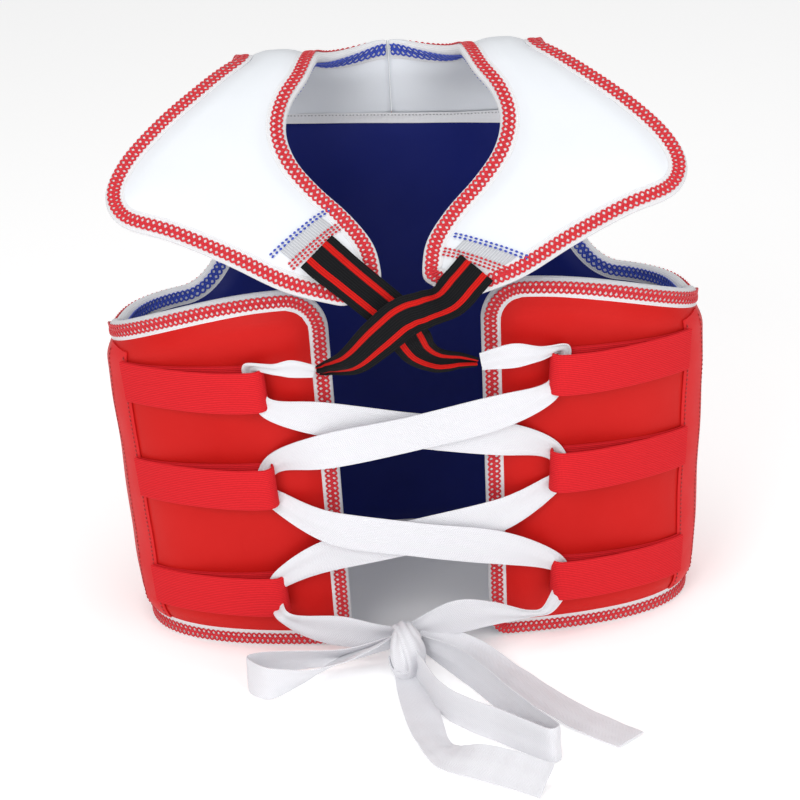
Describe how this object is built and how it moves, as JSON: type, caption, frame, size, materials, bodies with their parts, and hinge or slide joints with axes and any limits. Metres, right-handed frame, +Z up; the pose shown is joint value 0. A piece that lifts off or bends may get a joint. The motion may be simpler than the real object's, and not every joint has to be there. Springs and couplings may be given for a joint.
{
  "type": "chest protector",
  "caption": "Reversible padded chest protector with a collar and shoulder flaps, laced back wings, webbing loops, crossed elastic straps and a tied bow.",
  "frame": {"origin": "on the ground, at the middle of the front hem's flat foot", "axes": "+Z up; +Y out of the wearer's chest, so the laced back faces -Y; +X to the wearer's right"},
  "size_m": [0.4288, 0.4065, 0.412],
  "materials": {
    "cover_red": "smooth satin polyurethane leather",
    "cover_white": "smooth satin polyurethane leather",
    "lining_blue": "smooth satin polyurethane leather",
    "foam": "closed-cell foam sheet",
    "tape_white": "woven edge tape",
    "webbing_red": "ribbed woven webbing",
    "elastic_black": "woven elastic with two red stripes",
    "lace_white": "flat cotton tape"
  },
  "bodies": {
    "trunk": {"front_cover_red": "cover_red", "front_lining_blue": "lining_blue", "front_foam_outer": "foam", "front_foam_inner": "foam", "yoke_foam_left": "foam", "yoke_foam_right": "foam", "yoke_cover_left": "cover_white", "yoke_cover_right": "cover_white", "yoke_lining_left": "cover_white", "yoke_lining_right": "cover_white", "yoke_seam_tape": "tape_white", "binding_hem_front": "tape_white", "binding_neck_front": "tape_white", "binding_armhole_left": "tape_white", "binding_armhole_right": "tape_white", "elastic_left": "elastic_black", "elastic_right": "elastic_black", "lace_left": "lace_white", "lace_right": "lace_white"},
    "wing_left": {"wing_cover_left": "cover_red", "wing_foam_left": "foam", "wing_lining_left": "lining_blue", "binding_wing_left": "tape_white", "loop_band_left": "webbing_red", "loop_left_bottom": "webbing_red", "loop_left_middle": "webbing_red", "loop_left_top": "webbing_red"},
    "flap_left": {"flap_cover_left": "cover_white", "flap_foam_left": "foam", "flap_lining_left": "cover_white", "binding_flap_left": "tape_white", "flap_patch_left": "tape_white"},
    "wing_right": {"wing_cover_right": "cover_red", "wing_foam_right": "foam", "wing_lining_right": "lining_blue", "binding_wing_right": "tape_white", "loop_band_right": "webbing_red", "loop_right_bottom": "webbing_red", "loop_right_middle": "webbing_red", "loop_right_top": "webbing_red"},
    "flap_right": {"flap_cover_right": "cover_white", "flap_foam_right": "foam", "flap_lining_right": "cover_white", "binding_flap_right": "tape_white", "flap_patch_right": "tape_white"},
    "bow": {"lace_knot": "lace_white", "bow_loop_left": "lace_white", "bow_loop_right": "lace_white", "lace_tail_right": "lace_white", "lace_tail_left": "lace_white"}
  },
  "joints": [
    {"name": "left_wing_hinge", "type": "hinge", "parent": "trunk", "child": "wing_left", "pos_m": [-0.1954, -0.12624, 0.11], "axis": [0.0413, 0.0364, -0.9985], "range_deg": [-5, 10], "deforming": ["elastic_left", "elastic_right", "lace_left", "lace_right"]},
    {"name": "right_wing_hinge", "type": "hinge", "parent": "trunk", "child": "wing_right", "pos_m": [0.1954, -0.12624, 0.11], "axis": [0.0413, -0.0364, 0.9985], "range_deg": [-5, 10], "deforming": ["elastic_left", "elastic_right", "lace_left", "lace_right"]},
    {"name": "left_flap_hinge", "type": "hinge", "parent": "trunk", "child": "flap_left", "pos_m": [0, -0.0736, 0.405], "axis": [-1, 0, 0], "range_deg": [0, 20], "deforming": ["elastic_left", "elastic_right"]},
    {"name": "right_flap_hinge", "type": "hinge", "parent": "trunk", "child": "flap_right", "pos_m": [0, -0.0736, 0.405], "axis": [-1, 0, 0], "range_deg": [0, 20], "deforming": ["elastic_left", "elastic_right"]},
    {"name": "bow_lift", "type": "hinge", "parent": "trunk", "child": "bow", "pos_m": [-0.012, -0.2115, 0.018], "axis": [-1, 0, 0], "range_deg": [0, 45], "deforming": ["lace_left", "lace_right"]}
  ]
}
